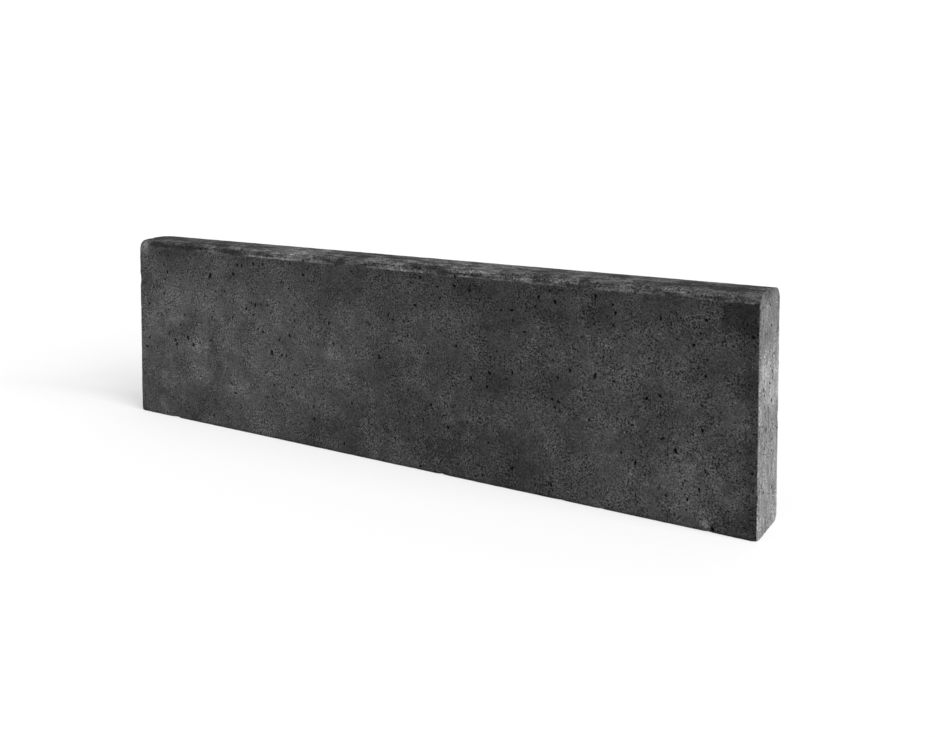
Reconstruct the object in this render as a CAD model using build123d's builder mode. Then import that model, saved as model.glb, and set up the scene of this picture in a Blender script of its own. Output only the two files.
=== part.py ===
from build123d import *
import os

# Dry-cast concrete kerb stone, standing on its bed face with its front to -Y.
# The origin is on the floor under the middle of the stone: X runs along the kerb line,
# Y goes from the front face to the back face, and Z is up. Sizes are in millimetres.

length = 1000.0
height = 280.0
thickness = 80.0

# The head of the stone is pressed by a crowned shoe. The crown falls by its rise from the
# middle to each side, where a round shoulder runs down to a ledge. The shoe is narrower
# than the mould by a small gap at each side, and that gap is the width of the ledge.
crown_rise = 4.0
shoulder_radius = 9.0
shoe_gap = 0.8

# The arrises that the mould leaves, upright and level, at the two ends and round the bed.
end_arris_radius = 1.5
bed_arris_radius = 2.0

half_thickness = thickness / 2
half_head = half_thickness - shoe_gap
crown_edge = height - crown_rise
ledge_height = crown_edge - shoulder_radius

os.makedirs("parts", exist_ok=True)

with BuildPart() as kerb:
    # The cross-section: flat bed, flat faces, a ledge at each side and the crowned head.
    with BuildSketch(Plane.YZ) as section:
        with BuildLine():
            bed = Line((0, 0), (half_thickness, 0))
            face = Line(bed @ 1, (half_thickness, ledge_height))
            ledge = Line(face @ 1, (half_head, ledge_height))
            head_side = Line(ledge @ 1, (half_head, crown_edge))
            mirror(objects=[bed, face, ledge, head_side], about=Plane.YZ)
            ThreePointArc((-half_head, crown_edge), (0, height), head_side @ 1)
        make_face()
        fillet(section.vertices().group_by(Axis.Y)[0], radius=bed_arris_radius)
        fillet(section.vertices().group_by(Axis.Y)[-1], radius=shoulder_radius)
    extrude(amount=length / 2, both=True)

    # The plan rounds the upright arrises of both ends.
    with BuildSketch(Plane.XY):
        RectangleRounded(length, thickness, end_arris_radius)
    extrude(amount=height, mode=Mode.INTERSECT)

    # The elevation rounds the level arrises of both ends.
    with BuildSketch(Plane.XZ):
        with Locations((0, height / 2)):
            RectangleRounded(length, height, end_arris_radius)
    extrude(amount=half_thickness, both=True, mode=Mode.INTERSECT)

kerb.part.label = "kerb"
export_step(kerb.part, "parts/kerb.step")
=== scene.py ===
import bpy
import math
from mathutils import Euler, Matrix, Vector


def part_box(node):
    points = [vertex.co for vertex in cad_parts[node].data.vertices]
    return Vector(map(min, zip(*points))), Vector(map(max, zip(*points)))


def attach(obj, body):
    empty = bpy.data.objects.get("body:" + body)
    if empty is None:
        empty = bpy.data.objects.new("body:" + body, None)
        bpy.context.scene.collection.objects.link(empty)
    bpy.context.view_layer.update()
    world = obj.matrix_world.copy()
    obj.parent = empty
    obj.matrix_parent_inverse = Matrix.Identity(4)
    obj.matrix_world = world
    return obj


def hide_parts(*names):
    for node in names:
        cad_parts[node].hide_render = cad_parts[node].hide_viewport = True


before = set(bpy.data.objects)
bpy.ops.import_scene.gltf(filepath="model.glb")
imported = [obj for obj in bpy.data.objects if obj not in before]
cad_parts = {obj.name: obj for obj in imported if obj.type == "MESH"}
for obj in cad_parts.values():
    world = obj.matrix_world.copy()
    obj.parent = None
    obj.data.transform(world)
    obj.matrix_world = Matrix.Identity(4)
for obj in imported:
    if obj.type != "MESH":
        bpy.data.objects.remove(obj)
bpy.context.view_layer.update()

# The stone itself: one piece of dry-cast concrete, tamped head up in a steel mould and pushed
# out while it is still green. The mould leaves flat faces, the shoe on top a rough crowned head
# with round shoulders and a ledge, and handling wears the arrises.
low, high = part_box("kerb")
length, thickness, height = high - low

millimetre = 0.001
crown_rise = 0.004
shoulder_radius = 0.009
shoe_gap = 0.0008
arris_radius = 0.0015
ledge_height = height - crown_rise - shoulder_radius

# Rows of faces from each arris inwards: a few as fine as the arris, then some as fine as the
# shoulder, then even ones to the middle.
half_columns = 100
half_rows = 26
half_depth_rows = 14
arris_rows = 4
arris_row = 0.0006
shoulder_rows = 5
shoulder_row = 0.0022

# The camera that the stone is seen with, and its picture's size in pixels.
picture_width = 935
picture_height = 737
sensor_width = 36.0
lens = 39.43
shift = -0.21
camera_place = Vector((0.8105, -1.1609, 0.4707))
heading = math.radians(31.61)
dip = math.radians(2.92)
camera_turn = Euler((math.pi / 2 - dip, 0.0, heading))
focal_pixels = lens / sensor_width * picture_width

# The largest blowholes, read off the photograph: pixels across and down it, and radii in
# millimetres. First those of the front, and then those of the right end.
front_blowholes = ((232.6, 274, 3.1), (210, 276, 3.0), (167, 272, 2.5), (165, 279, 2.4),
                   (237.1, 265, 2.0), (241.6, 266, 1.9), (253.1, 264, 2.1), (262.2, 265, 2.1),
                   (246.3, 308.3, 2.0), (251.4, 302.8, 2.1), (255, 305, 2.5), (260.6, 304.2, 2.0),
                   (267.1, 305.8, 2.1), (258.6, 329.3, 2.0), (263, 332, 2.5), (289.2, 335.4, 2.0),
                   (272, 353, 3.0), (286, 356, 2.7), (210.6, 340.5, 2.2), (193, 345, 3.1),
                   (188, 337.6, 2.6), (177, 344, 2.5), (175.3, 339.9, 2.1), (169.4, 333.4, 2.0),
                   (314, 419, 2.4), (379, 357, 2.4), (471, 378, 2.3), (487, 387, 2.0),
                   (512, 373, 2.1), (555, 302, 2.2), (595, 296, 2.1), (615, 313, 2.6),
                   (661, 319, 2.1), (706, 320, 2.2), (694, 345, 2.1), (595, 376, 2.7),
                   (635, 463, 2.1), (675, 451, 2.3), (702, 430, 2.0), (699, 489, 2.1),
                   (712, 529, 2.8))
end_blowholes = ((770.6, 304.4, 1.8), (771.8, 325.6, 1.4), (774.3, 352.7, 2.2), (772.6, 371.2, 2.2),
                 (764.3, 382, 1.8), (764, 391, 2.0), (773, 377.9, 1.6), (771.8, 400, 1.8),
                 (764.6, 408, 2.0), (771.8, 439.2, 1.6), (764.3, 449.1, 2.0), (771.7, 449.9, 1.8),
                 (763.5, 493.1, 2.0), (771.8, 486.4, 2.2))


def seen_at(across, down, axis, level):
    """The place, to a millimetre, where a pixel's line of sight crosses a level of an axis."""
    ray = Vector(((across - picture_width / 2) / focal_pixels,
                  (picture_height / 2 - down + shift * picture_width) / focal_pixels, -1.0))
    ray.rotate(camera_turn)
    spot = camera_place + ray * ((level - camera_place[axis]) / ray[axis])
    return [round(along / millimetre) * millimetre for along in spot]


def on_front(across, down):
    """The place on the front that shows at a pixel."""
    return seen_at(across, down, 1, -thickness / 2)


def on_right_end(across, down):
    """The place on the right end that shows at a pixel."""
    return seen_at(across, down, 0, length / 2)


def add(tree, kind, wires=None, **settings):
    """Adds a node, sets its properties, and links or sets its inputs by name or number."""
    made = tree.nodes.new(kind)
    for name, value in settings.items():
        setattr(made, name, value)
    for name, value in (wires or {}).items():
        if isinstance(value, bpy.types.NodeSocket):
            tree.links.new(value, made.inputs[name])
        else:
            made.inputs[name].default_value = value
    return made


def calc(tree, operation, *values, clamp=False):
    """One Math node: the result of an operation on sockets and numbers."""
    made = add(tree, "ShaderNodeMath", dict(enumerate(values)), operation=operation)
    made.use_clamp = clamp
    return made.outputs[0]


def plus(tree, first, *others):
    """The sum of sockets and numbers, from left to right."""
    for other in others:
        first = calc(tree, "ADD", first, other)
    return first


def minus(tree, first, other):
    """The first less the other."""
    return calc(tree, "SUBTRACT", first, other)


def times(tree, first, *others):
    """The product of sockets and numbers, from left to right."""
    for other in others:
        first = calc(tree, "MULTIPLY", first, other)
    return first


def over(tree, first, other, clamp=False):
    """The first divided by the other, held between 0 and 1 if clamped."""
    return calc(tree, "DIVIDE", first, other, clamp=clamp)


def least(tree, first, other):
    """The smaller of two."""
    return calc(tree, "MINIMUM", first, other)


def most(tree, first, *others):
    """The largest of two or more."""
    for other in others:
        first = calc(tree, "MAXIMUM", first, other)
    return first


def unsigned(tree, value):
    """The value without its sign."""
    return calc(tree, "ABSOLUTE", value)


def above(tree, value, limit):
    """1 where the value is above the limit, and 0 elsewhere."""
    return calc(tree, "GREATER_THAN", value, limit)


def below(tree, value, limit):
    """1 where the value is below the limit, and 0 elsewhere."""
    return calc(tree, "LESS_THAN", value, limit)


def mix(tree, share, first, second):
    """The first where the share is 0, and the second where it is 1."""
    return add(tree, "ShaderNodeMix", {0: share, 2: first, 3: second}).outputs[0]


def ramp(tree, value, start, end, low=0.0, high=1.0):
    """A smooth step from low to high while the value goes from start to end."""
    wires = {"Value": value, "From Min": start, "From Max": end, "To Min": low, "To Max": high}
    made = add(tree, "ShaderNodeMapRange", wires, interpolation_type="SMOOTHSTEP")
    return made.outputs["Result"]


def noise(tree, place, scale, detail=2.0, roughness=0.5):
    """Soft noise about 0.5. Scale is in waves a metre."""
    wires = {"Vector": place, "Scale": scale, "Detail": detail, "Roughness": roughness}
    return add(tree, "ShaderNodeTexNoise", wires).outputs["Fac"]


def split(tree, vector):
    """The x, y and z of a vector."""
    return add(tree, "ShaderNodeSeparateXYZ", {0: vector}).outputs


def join(tree, x, y, z):
    """A vector from three numbers."""
    return add(tree, "ShaderNodeCombineXYZ", {0: x, 1: y, 2: z}).outputs[0]


def alike(tree, value):
    """A vector of the same number three times."""
    return join(tree, value, value, value)


def calc_vector(tree, operation, *values):
    """One Vector Math node that gives a vector."""
    wires = dict(enumerate(values))
    return add(tree, "ShaderNodeVectorMath", wires, operation=operation).outputs[0]


def measure(tree, operation, *vectors):
    """One Vector Math node that gives a number, such as a length or a distance."""
    wires = dict(enumerate(vectors))
    return add(tree, "ShaderNodeVectorMath", wires, operation=operation).outputs["Value"]


def new_tree(name, sizes):
    """A Geometry Nodes tree with a geometry output and one named number input for each size."""
    tree = bpy.data.node_groups.new(name, "GeometryNodeTree")
    tree.interface.new_socket("Geometry", in_out="INPUT", socket_type="NodeSocketGeometry")
    for label, value in sizes.items():
        kind = "NodeSocketInt" if isinstance(value, int) else "NodeSocketFloat"
        socket = tree.interface.new_socket(label, in_out="INPUT", socket_type=kind)
        socket.default_value = value
    tree.interface.new_socket("Geometry", in_out="OUTPUT", socket_type="NodeSocketGeometry")
    return tree, tree.nodes.new("NodeGroupInput").outputs


# Depths of wear are in metres, and numbers of blowholes are for a square metre.
stone_sizes = {
    "Length": length,
    "Thickness": thickness,
    "Height": height,
    "Crown Rise": crown_rise,
    "Shoulder Radius": shoulder_radius,
    "Shoe Gap": shoe_gap,
    "Arris Radius": arris_radius,
    "Half Columns": half_columns,
    "Half Rows": half_rows,
    "Half Depth Rows": half_depth_rows,
    "Waviness": 0.0003,
    "Head Roughness": 0.0011,
    "Arris Wear": 0.0007,
    "Corner Wear": 0.0009,
    "Chip Depth": 0.0012,
    "Large Holes": 2400.0,
    "Small Holes": 2200.0,
    "Seed": 7,
}
t, size = new_tree("cast_kerb_stone", stone_sizes)

# A box of rows and columns that crowd towards the arrises.
half_length = times(t, size["Length"], 0.5)
half_thickness = times(t, size["Thickness"], 0.5)
crown_edge = minus(t, size["Height"], size["Crown Rise"])
half_edge = times(t, crown_edge, 0.5)
half_box = join(t, half_length, half_thickness, half_edge)


def vertices(half_count):
    """The vertices along a side with this many faces on each half."""
    return plus(t, times(t, half_count, 2.0), 1.0)


def crowded(place, half_side, half_count):
    """Moves a place, from -1 to 1 along a side, so that the rows crowd towards both arrises."""
    rows_in = times(t, minus(t, 1.0, unsigned(t, place)), half_count)
    in_arris = least(t, rows_in, arris_rows)
    past_arris = most(t, minus(t, rows_in, arris_rows), 0.0)
    in_shoulder = least(t, past_arris, shoulder_rows)
    past_shoulder = most(t, minus(t, past_arris, shoulder_rows), 0.0)
    crowd = arris_rows * arris_row + shoulder_rows * shoulder_row
    even_rows = minus(t, half_count, arris_rows + shoulder_rows)
    even_row = over(t, minus(t, half_side, crowd), even_rows)
    inwards = plus(t, times(t, in_arris, arris_row), times(t, in_shoulder, shoulder_row),
                   times(t, past_shoulder, even_row))
    return times(t, calc(t, "SIGN", place), minus(t, half_side, inwards))


grid = add(t, "GeometryNodeMeshCube", {"Size": (2.0, 2.0, 2.0),
                                       "Vertices X": vertices(size["Half Columns"]),
                                       "Vertices Y": vertices(size["Half Depth Rows"]),
                                       "Vertices Z": vertices(size["Half Rows"])})
spot_x, spot_y, spot_z = split(t, add(t, "GeometryNodeInputPosition").outputs[0])
boxed = join(t, crowded(spot_x, half_length, size["Half Columns"]),
             crowded(spot_y, half_thickness, size["Half Depth Rows"]),
             crowded(spot_z, half_edge, size["Half Rows"]))

# Every arris is rounded: what lies outside the inner box is drawn in to a round.
never_zero = 1e-9
on_inner_box = 1e-8
inner_half = calc_vector(t, "SUBTRACT", half_box, alike(t, size["Arris Radius"]))
inner = calc_vector(t, "MAXIMUM", calc_vector(t, "MINIMUM", boxed, inner_half),
                    calc_vector(t, "MULTIPLY", inner_half, (-1.0, -1.0, -1.0)))
outside = calc_vector(t, "SUBTRACT", boxed, inner)
out_x, out_y, out_z = split(t, calc_vector(t, "ABSOLUTE", outside))
far = measure(t, "LENGTH", outside)
draw_in = over(t, most(t, out_x, out_y, out_z), most(t, far, never_zero))
draw_in = plus(t, draw_in, below(t, far, on_inner_box))
rounded = calc_vector(t, "ADD", inner, calc_vector(t, "MULTIPLY", outside, alike(t, draw_in)))
rounded = calc_vector(t, "ADD", rounded, join(t, 0.0, 0.0, half_edge))

# The head: a ledge where the shoe is narrower than the mould, a round shoulder, a low crown.
# The ledge slopes a little, from below its own height to just above it.
ledge_foot = -0.0016
ledge_top = 0.0002
past_nothing = 1e-7
along, across, up = split(t, rounded)
ledge = minus(t, crown_edge, size["Shoulder Radius"])
over_ledge = ramp(t, minus(t, up, ledge), ledge_foot, ledge_top)
narrowing = over(t, times(t, over_ledge, size["Shoe Gap"]), half_thickness)
across = times(t, across, minus(t, 1.0, narrowing))
half_head = minus(t, half_thickness, size["Shoe Gap"])
shoulder_start = minus(t, half_head, size["Shoulder Radius"])
past_side = most(t, minus(t, unsigned(t, across), shoulder_start), 0.0)
past_ledge = most(t, minus(t, up, ledge), 0.0)
past_both = plus(t, times(t, past_side, past_side), times(t, past_ledge, past_ledge))
past_both = calc(t, "SQRT", past_both)
on_shoulder = times(t, above(t, past_side, past_nothing), above(t, past_ledge, past_nothing))
turn = over(t, most(t, past_side, past_ledge), most(t, past_both, never_zero))
turn = mix(t, on_shoulder, 1.0, turn)
across_turned = plus(t, times(t, past_side, turn), least(t, unsigned(t, across), shoulder_start))
across_turned = times(t, calc(t, "SIGN", across), across_turned)
up_turned = plus(t, times(t, past_ledge, turn), least(t, up, ledge))
lift = over(t, minus(t, up_turned, ledge), size["Shoulder Radius"], clamp=True)
bow = over(t, across_turned, half_head)
bow = minus(t, 1.0, times(t, bow, bow))
crown = times(t, bow, lift, size["Crown Rise"])
moulded = join(t, along, across_turned, plus(t, up_turned, crown))
shaped = add(t, "GeometryNodeSetPosition", {"Geometry": grid.outputs["Mesh"],
                                            "Position": moulded})

# Wear and relief, always inwards: the faces are a little wavy, the head is rough with drag
# marks along it, the arrises and corners are rubbed down, and here and there a chip is gone.
wave_scale = 14.0
drag_scale = 170.0
drag_stretch = (0.35, 1.0, 1.0)
rub_scale = 70.0
rub_reach = 0.0030
rub_gain = 2.2
blunt_reach = 0.008
chip_scale = 42.0
chip_reach = 0.009
full_wear = 0.001
place = add(t, "GeometryNodeInputPosition").outputs[0]
normal = add(t, "GeometryNodeInputNormal").outputs[0]
cast_x, cast_y, cast_z = split(t, place)
to_end = minus(t, half_length, unsigned(t, cast_x))
to_face = minus(t, half_thickness, unsigned(t, cast_y))
to_level = least(t, cast_z, minus(t, size["Height"], cast_z))
nearer = least(t, to_end, to_face)
farther = most(t, to_end, to_face)
to_arris = most(t, nearer, least(t, farther, to_level))
to_corner = most(t, farther, to_level)
shifted = calc_vector(t, "ADD", place, alike(t, size["Seed"]))
waves = times(t, noise(t, shifted, wave_scale, 3.0), size["Waviness"])
dragged = calc_vector(t, "MULTIPLY", shifted, drag_stretch)
on_head = ramp(t, cast_z, ledge_height - 0.001, ledge_height + 0.004)
drag = times(t, noise(t, dragged, drag_scale, 3.0, 0.6), size["Head Roughness"], on_head)
by_arris = ramp(t, to_arris, rub_reach, 0.0)
rub = calc(t, "POWER", noise(t, shifted, rub_scale, 3.0, 0.6), 2.0)
rub = times(t, rub, by_arris, times(t, size["Arris Wear"], rub_gain))
blunt = times(t, ramp(t, to_corner, blunt_reach, full_wear), size["Corner Wear"])
chips = ramp(t, noise(t, shifted, chip_scale, 2.0, 0.5), 0.60, 0.70)
chips = times(t, chips, ramp(t, to_arris, chip_reach, full_wear), size["Chip Depth"])
depth = plus(t, waves, drag, plus(t, rub, blunt, chips))
offset = calc_vector(t, "MULTIPLY", normal, alike(t, times(t, depth, -1.0)))
worn = add(t, "GeometryNodeSetPosition", {"Geometry": shaped.outputs[0], "Offset": offset})

# Blowholes: air that the shoe didn't press out leaves small ragged holes in every cast face.
# Each bead is stretched, turned, roughened and cut out of the stone, and marks its own walls.
bead_narrowest = (0.7, 0.8, 0.9)
bead_widest = (1.1, 1.8, 1.5)
bead_jolts = 0.9
bead_jolt_gain = 1.6

# The scattered ones come in patches, are mostly small, and are fewer below the ledge's band.
hole_patch_scale = 11.0
fewer_below = 0.225
full_above = 0.250
lower_share = 0.72
mostly_small = 2.6


def mark_walls(tree, geometry, value):
    """Stores on every face how much of a blowhole's wall it is, 0 or 1."""
    wires = {"Geometry": geometry, "Name": "hole", "Value": value}
    made = add(tree, "GeometryNodeStoreNamedAttribute", domain="FACE", data_type="FLOAT")
    for name, wire in wires.items():
        socket = [one for one in made.inputs if one.name == name and one.enabled][0]
        if isinstance(wire, bpy.types.NodeSocket):
            tree.links.new(wire, socket)
        else:
            socket.default_value = wire
    return made.outputs[0]


def cut_blowholes(tree, stone, points, rotation, radius, subdivisions, seed, raggedness, sway):
    """Cuts a bead of the given radius out of the stone at each point, swayed at random."""
    bead = add(tree, "GeometryNodeMeshIcoSphere", {"Radius": 1.0, "Subdivisions": subdivisions})
    wires = {0: bead_narrowest, 1: bead_widest, "Seed": seed + 2}
    stretch = add(tree, "FunctionNodeRandomValue", wires, data_type="FLOAT_VECTOR")
    scale = calc_vector(tree, "MULTIPLY", stretch.outputs[0], alike(tree, radius))
    wires = {0: (0.0, 0.0, -sway), 1: (0.0, 0.0, sway), "Seed": seed + 3}
    spin = add(tree, "FunctionNodeRandomValue", wires, data_type="FLOAT_VECTOR")
    wires = {0: rotation, 1: spin.outputs[0]}
    turned = add(tree, "FunctionNodeRotateRotation", wires, rotation_space="LOCAL")
    wires = {"Points": points, "Instance": bead.outputs["Mesh"], "Rotation": turned.outputs[0],
             "Scale": scale}
    beads = add(tree, "GeometryNodeInstanceOnPoints", wires)
    cutters = add(tree, "GeometryNodeRealizeInstances", {0: beads.outputs[0]}).outputs[0]
    where = add(tree, "GeometryNodeInputPosition").outputs[0]
    wires = {"Vector": where, "Scale": bead_jolts / raggedness, "Detail": 1.0}
    rough = add(tree, "ShaderNodeTexNoise", wires)
    jolt = calc_vector(tree, "SUBTRACT", rough.outputs["Color"], (0.5, 0.5, 0.5))
    jolt = calc_vector(tree, "MULTIPLY", jolt, (raggedness * bead_jolt_gain,) * 3)
    cutters = add(tree, "GeometryNodeSetPosition", {"Geometry": cutters, "Offset": jolt}).outputs[0]
    wires = {"Mesh 1": stone, "Mesh 2": mark_walls(tree, cutters, 1.0)}
    cut = add(tree, "GeometryNodeMeshBoolean", wires, operation="DIFFERENCE", solver="MANIFOLD")
    return cut.outputs["Mesh"]


def scatter_blowholes(tree, stone, density, spacing, radius_low, radius_high, subdivisions, seed):
    """Cuts one kind of blowhole out of every face but the bed, at random."""
    where = add(tree, "GeometryNodeInputPosition").outputs[0]
    facing = split(tree, add(tree, "GeometryNodeInputNormal").outputs[0])[2]
    cast = add(tree, "FunctionNodeCompare", {0: facing, 1: -0.5}, operation="GREATER_THAN")
    patchy = ramp(tree, noise(tree, where, hole_patch_scale, 3.0, 0.6), 0.3, 0.62, 0.35, 1.0)
    higher = ramp(tree, split(tree, where)[2], fewer_below, full_above, lower_share, 1.0)
    patchy = times(tree, patchy, higher)
    wires = {"Mesh": stone, "Selection": cast.outputs[0], "Distance Min": spacing,
             "Density Max": density, "Density Factor": patchy, "Seed": seed}
    points = add(tree, "GeometryNodeDistributePointsOnFaces", wires, distribute_method="POISSON")
    wires = {2: 0.0, 3: 1.0, "Seed": seed + 1}
    lot = add(tree, "FunctionNodeRandomValue", wires, data_type="FLOAT").outputs[1]
    lot = calc(tree, "POWER", lot, mostly_small)
    radius = plus(tree, times(tree, lot, radius_high - radius_low), radius_low)
    return cut_blowholes(tree, stone, points.outputs["Points"], points.outputs["Rotation"], radius,
                         subdivisions, seed, raggedness=radius_low, sway=math.pi)


# First the placed ones, each turned to face out of the front or out of the right end, and then
# two sizes at random.
wires = {"Mesh": size["Geometry"], "Radius": millimetre}
given = add(t, "GeometryNodeMeshToPoints", wires).outputs[0]
wires = {"Name": "bead_radius"}
given_radius = add(t, "GeometryNodeInputNamedAttribute", wires, data_type="FLOAT").outputs[0]
quarter_turn = times(t, above(t, cast_x, length / 2 - millimetre), math.pi / 2)
wires = {0: join(t, math.pi / 2, 0.0, quarter_turn)}
facing_out = add(t, "FunctionNodeEulerToRotation", wires).outputs[0]
holed = mark_walls(t, worn.outputs[0], 0.0)
holed = cut_blowholes(t, holed, given, facing_out, given_radius, subdivisions=2, seed=11,
                      raggedness=0.0011, sway=0.6)
holed = scatter_blowholes(t, holed, size["Large Holes"], spacing=0.0075, radius_low=0.0010,
                          radius_high=0.0021, subdivisions=2, seed=31)
holed = scatter_blowholes(t, holed, size["Small Holes"], spacing=0.0036, radius_low=0.0006,
                          radius_high=0.0012, subdivisions=1, seed=57)

# Smooth shading, with a crease wherever two faces meet at more than this angle.
crease_angle = math.radians(38)
bend = add(t, "GeometryNodeInputMeshEdgeAngle").outputs["Unsigned Angle"]
gentle = add(t, "FunctionNodeCompare", {0: bend, 1: crease_angle}, operation="LESS_THAN")
smooth = add(t, "GeometryNodeSetShadeSmooth", {"Geometry": holed}, domain="FACE")
wires = {"Geometry": smooth.outputs[0], "Shade Smooth": gentle.outputs[0]}
creased = add(t, "GeometryNodeSetShadeSmooth", wires, domain="EDGE")
concrete = bpy.data.materials.new("charcoal_concrete")
whole = add(t, "GeometryNodeRealizeInstances", {0: creased.outputs[0]})
faced = add(t, "GeometryNodeSetMaterial", {"Geometry": whole.outputs[0], "Material": concrete})
add(t, "NodeGroupOutput", {0: faced.outputs[0]})

# The tree starts from the places of the largest blowholes, and its stone becomes a plain mesh.
marks = bpy.data.meshes.new("blowhole_places")
places = [on_front(*blowhole[:2]) for blowhole in front_blowholes]
places += [on_right_end(*blowhole[:2]) for blowhole in end_blowholes]
marks.from_pydata(places, [], [])
radii = marks.attributes.new("bead_radius", "FLOAT", "POINT")
for number, blowhole in enumerate(front_blowholes + end_blowholes):
    radii.data[number].value = blowhole[2] * millimetre
carrier = bpy.data.objects.new("blowhole_places", marks)
bpy.context.scene.collection.objects.link(carrier)
maker = carrier.modifiers.new("stone", "NODES")
maker.node_group = t
bpy.context.view_layer.update()
evaluated = carrier.evaluated_get(bpy.context.evaluated_depsgraph_get())
stone_mesh = bpy.data.meshes.new_from_object(evaluated)
bpy.data.objects.remove(carrier)
# The cuts leave an empty material slot ahead of the concrete's.
while stone_mesh.materials[0] is None:
    stone_mesh.materials.pop(index=0)
stone = bpy.data.objects.new("kerb_stone_concrete", stone_mesh)
bpy.context.scene.collection.objects.link(stone)

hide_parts("kerb")
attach(stone, "root")

# Its concrete: black-pigmented cement paste over sand. Faces against the mould are dark with
# cloudy bloom, the head is streaked by the shoe, and the end faces are painted paler as painted
# light.
face_colour = 0.0505
head_colour = 0.043
# Painted light: the ends' colour is a lit copy of the faces' concrete, painted paler.
lit_end_colour = 0.118
darkest_head = 0.017
rubbed_corner_colour = 0.13

concrete.use_nodes = True
s = concrete.node_tree
cement = s.nodes["Principled BSDF"]
cement.inputs["Specular IOR Level"].default_value = 0.08
where = add(s, "ShaderNodeTexCoord").outputs["Object"]
at_x, at_y, at_z = split(s, where)
ragged = noise(s, where, 55.0, 4.0, 0.7)
at_end = ramp(s, unsigned(s, at_x), length / 2 - 0.0022, length / 2 - 0.0012)
at_head = ramp(s, at_z, ledge_height - 0.0005, ledge_height + 0.0005)


def tint(value, mask, gain):
    """The value where the mask is 0, and gain times the value where it is 1."""
    return times(s, value, mix(s, mask, 1.0, gain))


def frayed(value, amount):
    """The value plus up to this amount of ragged noise, so that a step on it has a torn edge."""
    return plus(s, value, times(s, ragged, amount))


def patch(x, z, reach_x, reach_z, raggedness):
    """A ragged soft spot, about a place along and up the stone, in metres."""
    off_x = over(s, minus(s, at_x, x), reach_x)
    off_z = over(s, minus(s, at_z, z), reach_z)
    off = calc(s, "SQRT", plus(s, times(s, off_x, off_x), times(s, off_z, off_z)))
    off = plus(s, off, times(s, minus(s, ragged, 0.5), raggedness))
    return ramp(s, off, 1.25, 0.35)


# The mould faces: clouds from a hand's width down to a grain, and paler towards the left end.
cloud_scale = 10.0
cloud = noise(s, where, cloud_scale, 7.0, 0.84)
face = times(s, face_colour, ramp(s, cloud, 0.32, 0.68, 0.62, 1.44))
face = times(s, face, ramp(s, at_x, -0.45, 0.12, 1.30, 1.0))

# Dark bands along the faces: the heights where each starts and is full, and its gain. The second,
# towards the foot, is painted shade.
face_bands_with_foot_shade = ((0.200, 0.235, 0.76), (0.070, 0.030, 0.84),
              (ledge_height - 0.012, ledge_height - 0.002, 0.84))
for start, full, gain in face_bands_with_foot_shade:
    face = tint(face, ramp(s, at_z, start, full), gain)

# A dark margin beside the right end, and a stain with a sharp left edge in its top corner.
margin_gain = 0.72
stain_gain = 0.66
face = tint(face, ramp(s, frayed(at_x, 0.05), 0.497, 0.515), margin_gain)
stain = times(s, ramp(s, frayed(at_z, 0.03), 0.238, 0.258), ramp(s, at_x, 0.4565, 0.4590))
face = tint(face, stain, stain_gain)

# Patches: place along and up the stone, reach along and up, and gain.
patch_raggedness = 2.4
patches = ((0.450, 0.250, 0.007, 0.022, 1.20), (0.165, 0.235, 0.100, 0.040, 0.88),
           (0.160, 0.030, 0.110, 0.060, 0.70), (0.415, 0.045, 0.060, 0.045, 1.45),
           (0.180, 0.165, 0.060, 0.060, 0.72), (0.060, 0.055, 0.060, 0.060, 0.74),
           (0.450, 0.200, 0.060, 0.050, 0.72), (-0.030, 0.205, 0.070, 0.030, 0.85),
           (-0.360, 0.030, 0.060, 0.035, 0.78), (0.270, 0.262, 0.050, 0.007, 0.75),
           (-0.395, 0.115, 0.085, 0.045, 1.30), (0.441, 0.009, 0.006, 0.005, 1.90))
for x, z, reach_x, reach_z, gain in patches:
    face = tint(face, patch(x, z, reach_x, reach_z, patch_raggedness), gain)

# Smaller spots, read off the photograph: pixels across and down it, reach along and up
# the stone, and gain.
spots = ((468, 291, 0.035, 0.011, 0.75), (199, 345, 0.030, 0.012, 1.35),
         (237, 387, 0.026, 0.018, 1.40), (170, 381, 0.022, 0.016, 1.35),
         (163.8, 405.2, 0.010, 0.022, 1.40), (176, 322, 0.024, 0.016, 1.30),
         (328, 355, 0.024, 0.009, 1.35))
for pixel_x, pixel_y, reach_x, reach_z, gain in spots:
    x, y, z = on_front(pixel_x, pixel_y)
    face = tint(face, patch(x, z, reach_x, reach_z, patch_raggedness), gain)
# Painted shade along the very foot of the faces, where the stone meets the floor.
foot_shade_gain = 0.7
face = tint(face, ramp(s, at_z, 0.006, 0.001), foot_shade_gain)

# The head: streaks along the stone, pale where the shoe rubbed and dark where paste tore.
streak_stretch = (0.22, 1.0, 1.6)
streaked = calc_vector(s, "MULTIPLY", where, streak_stretch)
streaks = noise(s, streaked, 75.0, 6.0, 0.75)
blots = noise(s, where, 48.0, 5.0, 0.75)
reaches = noise(s, streaked, 26.0, 2.0, 0.6)
head = times(s, head_colour, ramp(s, streaks, 0.38, 0.62, 0.35, 1.90))
head = times(s, head, ramp(s, blots, 0.36, 0.64, 0.5, 1.6))
head = times(s, head, ramp(s, reaches, 0.36, 0.64, 0.72, 1.28))
head = times(s, head, ramp(s, at_x, -0.36, -0.22, 0.78, 1.08))
head = times(s, head, ramp(s, at_x, 0.22, 0.36, 1.0, 0.88))

# Stretches, dark and pale: place along the stone, reach, and gain.
stretches = ((-0.400, 0.090, 0.72), (-0.165, 0.035, 1.28), (-0.075, 0.032, 0.60),
             (0.030, 0.036, 1.55), (0.130, 0.046, 1.42), (0.225, 0.020, 0.75),
             (0.300, 0.032, 0.62), (0.470, 0.026, 0.65))
for x, reach_x, gain in stretches:
    head = tint(head, patch(x, height, reach_x, 1.0, raggedness=1.2), gain)
head = most(s, head, darkest_head)
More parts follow.
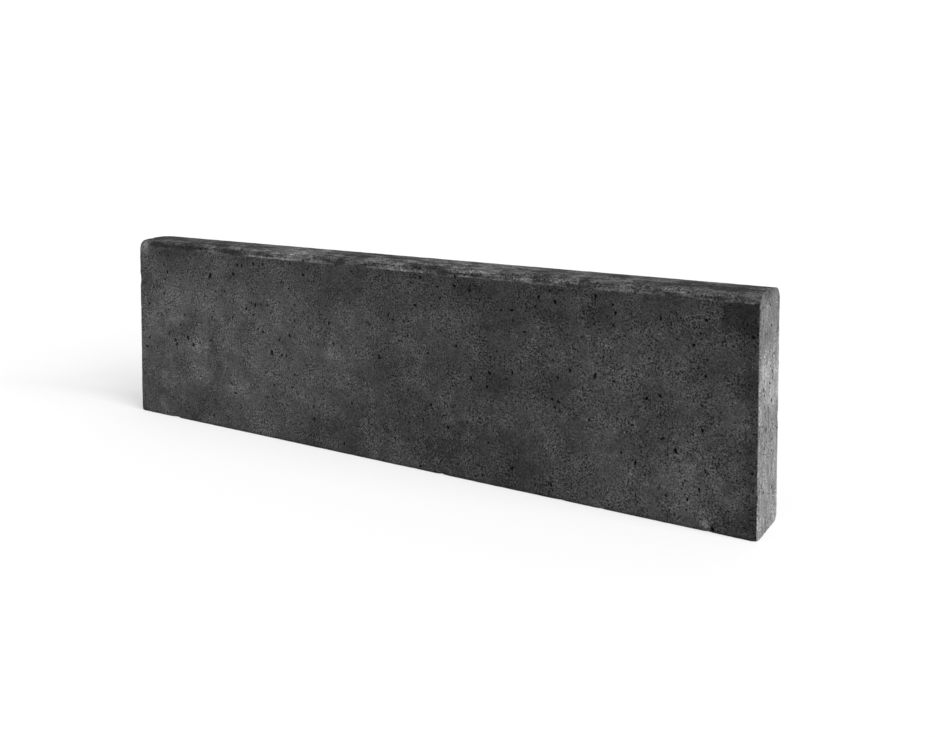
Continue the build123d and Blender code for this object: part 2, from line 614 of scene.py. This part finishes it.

# A pale lip along the ledge: worn paste, and a painted highlight where the ledge's top catches the
# light. It is broken up, and fainter towards both ends.
lip_height = ledge_height + 0.0014
lip_wear_and_highlight_gain = 1.65
lip_breakup = noise(s, streaked, 45.0, 3.0, 0.6)
lip_wear_and_highlight = ramp(s, unsigned(s, minus(s, at_z, lip_height)), 0.0019, 0.0007)
lip_wear_and_highlight = times(s, lip_wear_and_highlight, ramp(s, lip_breakup, 0.32, 0.62, 0.5, 1.0))
lip_wear_and_highlight = times(s, lip_wear_and_highlight, ramp(s, at_x, -0.34, -0.22, 0.4, 1.0))
lip_wear_and_highlight = times(s, lip_wear_and_highlight, ramp(s, at_x, 0.20, 0.30, 1.0, 0.50))
head = tint(head, lip_wear_and_highlight, lip_wear_and_highlight_gain)

# The end faces: upright streaks of paste and bloom over grain, darker towards the head.
upright_stretch = (1.0, 1.0, 0.16)
end_top_gain = 0.69
drawn_up = calc_vector(s, "MULTIPLY", where, upright_stretch)
grainy = noise(s, drawn_up, 210.0, 4.0, 0.7)
end_cloud = noise(s, where, 34.0, 4.0, 0.7)
# The end's base colour is painted light: the same concrete as the faces, painted paler.
end = times(s, lit_end_colour, ramp(s, grainy, 0.3, 0.7, 0.66, 1.38))
end = times(s, end, ramp(s, end_cloud, 0.3, 0.7, 0.72, 1.3))
end = tint(end, ramp(s, at_z, 0.200, 0.245), end_top_gain)

# One pale and one dark band across the ends: middle height, outer and inner reach, and gain.
end_bands = ((0.172, 0.036, 0.014, 1.22), (0.113, 0.026, 0.008, 0.80))
for middle, outer_reach, inner_reach, gain in end_bands:
    off_middle = unsigned(s, minus(s, at_z, middle))
    end = tint(end, ramp(s, off_middle, outer_reach, inner_reach), gain)

# Torn paste in dark upright flecks, a dark frayed top edge, and a paler strip by the back.
torn_gain = 0.5
top_edge_gain = 0.60
back_strip_gain = 1.2
torn = ramp(s, noise(s, drawn_up, 150.0, 2.0, 0.6), 0.66, 0.72)
end = tint(end, torn, torn_gain)
end = tint(end, ramp(s, frayed(at_z, 0.03), 0.277, 0.294), top_edge_gain)
end = tint(end, ramp(s, at_y, 0.022, 0.036), back_strip_gain)

# All three together, and the left front corner of the head, which is rubbed pale.
rubbed_corner = (-0.489, -0.037, 0.268)
tone = mix(s, at_head, face, head)
tone = mix(s, at_end, tone, end)
to_rubbed = frayed(measure(s, "DISTANCE", where, rubbed_corner), 0.02)
tone = mix(s, ramp(s, to_rubbed, 0.025, 0.014), tone, rubbed_corner_colour)

# Sand and pores in the paste, all over: grains of 1 to 2 mm, pale and dark, pin-holes between
# them painted dark as painted shade, and the deep walls of the blowholes darkened with painted
# shade.
grain_scale = 430.0
pore_scale = 330.0
open_paste_scale = 38.0
pin_share = 0.2
bright_share = 0.15
hole_shade_gain = 0.22
bright_gain = 1.75
grain = noise(s, where, grain_scale, 3.0, 0.75)
open_paste = ramp(s, noise(s, where, open_paste_scale, 3.0, 0.6), 0.40, 0.58, 0.45, 1.0)
open_paste = times(s, open_paste, ramp(s, at_end, 0.0, 1.0, 1.0, 0.6))
open_paste = times(s, open_paste, ramp(s, lip_wear_and_highlight, 0.0, 1.0, 1.0, 0.4))
speckle = minus(s, ramp(s, grain, 0.34, 0.66, 0.16, 2.06), 1.0)
tone = times(s, tone, plus(s, times(s, speckle, open_paste), 1.0))
pore = add(s, "ShaderNodeTexVoronoi", {"Vector": where, "Scale": pore_scale}, feature="F1")
from_pore = pore.outputs["Distance"]
pick = split(s, pore.outputs["Color"])[0]
pin = times(s, ramp(s, from_pore, 0.50, 0.30), above(s, pick, 1.0 - pin_share), open_paste)
bright = times(s, ramp(s, from_pore, 0.38, 0.22), below(s, pick, bright_share))
hole = add(s, "ShaderNodeAttribute", attribute_type="GEOMETRY", attribute_name="hole")
# Painted shade in the pin-holes and on the blowholes' walls.
tone = tint(tone, pin, hole_shade_gain)
tone = tint(tone, bright, bright_gain)
tone = tint(tone, hole.outputs["Fac"], hole_shade_gain)
grey = add(s, "ShaderNodeCombineColor", {0: tone, 1: tone, 2: tone})
s.links.new(grey.outputs[0], cement.inputs["Base Color"])
s.links.new(ramp(s, grain, 0.3, 0.7, 0.96, 0.8), cement.inputs["Roughness"])
relief = minus(s, plus(s, grain, times(s, ragged, 0.6)), pin)
bump = add(s, "ShaderNodeBump", {"Height": relief, "Distance": 0.0007, "Strength": 0.7})
s.links.new(bump.outputs[0], cement.inputs["Normal"])

# The studio floor: a wide pale sheet that keeps the stone's shadow. It glows a little for the
# camera and in reflections, and only there, so that it shows white.
floor_size = 40.0
floor_grey = 0.4
floor_glow = 0.52
white = (1.0, 1.0, 1.0, 1.0)


def shown(tree):
    """1 for the rays that show the background: seen, mirrored or through glass."""
    rays = add(tree, "ShaderNodeLightPath").outputs
    return most(tree, rays["Is Camera Ray"], rays["Is Glossy Ray"], rays["Is Transmission Ray"])


bpy.ops.mesh.primitive_plane_add(size=floor_size, location=(0.0, 0.0, 0.0))
floor = bpy.context.object
floor.name = "floor"
pale_floor = bpy.data.materials.new("pale_floor")
pale_floor.use_nodes = True
sheet = pale_floor.node_tree
sheet_inputs = sheet.nodes["Principled BSDF"].inputs
sheet_inputs["Base Color"].default_value = (floor_grey, floor_grey, floor_grey, 1.0)
sheet_inputs["Roughness"].default_value = 1.0
sheet_inputs["Specular IOR Level"].default_value = 0.0
sheet_inputs["Emission Color"].default_value = white
sheet.links.new(times(sheet, shown(sheet), floor_glow), sheet_inputs["Emission Strength"])
floor.data.materials.append(pale_floor)

# The studio light: an even white room, and one broad soft lamp far off to the right, a little
# in front and above.
room_light = 0.5
room_shown = 1.0
world = bpy.data.worlds.new("studio")
bpy.context.scene.world = world
world.use_nodes = True
room = world.node_tree
room_inputs = room.nodes["Background"].inputs
room_inputs["Color"].default_value = white
room.links.new(mix(room, shown(room), room_light, room_shown), room_inputs["Strength"])

key = bpy.data.lights.new("broad_key", "SUN")
key.energy = 6.4
key.angle = math.radians(50)
key_holder = bpy.data.objects.new("broad_key", key)
bpy.context.scene.collection.objects.link(key_holder)
towards_key = Vector((1.0, -0.25, 0.42))
key_holder.rotation_euler = towards_key.to_track_quat("Z", "Y").to_euler()

# The camera: nearly level and shifted down, so that the upright edges stay almost upright.
camera_data = bpy.data.cameras.new("camera")
camera = bpy.data.objects.new("camera", camera_data)
bpy.context.scene.collection.objects.link(camera)
bpy.context.scene.camera = camera
camera_data.sensor_width = sensor_width
camera_data.lens = lens
camera_data.shift_y = shift
camera.location = camera_place
camera.rotation_euler = camera_turn

view = bpy.context.scene.view_settings
view.view_transform = "Standard"
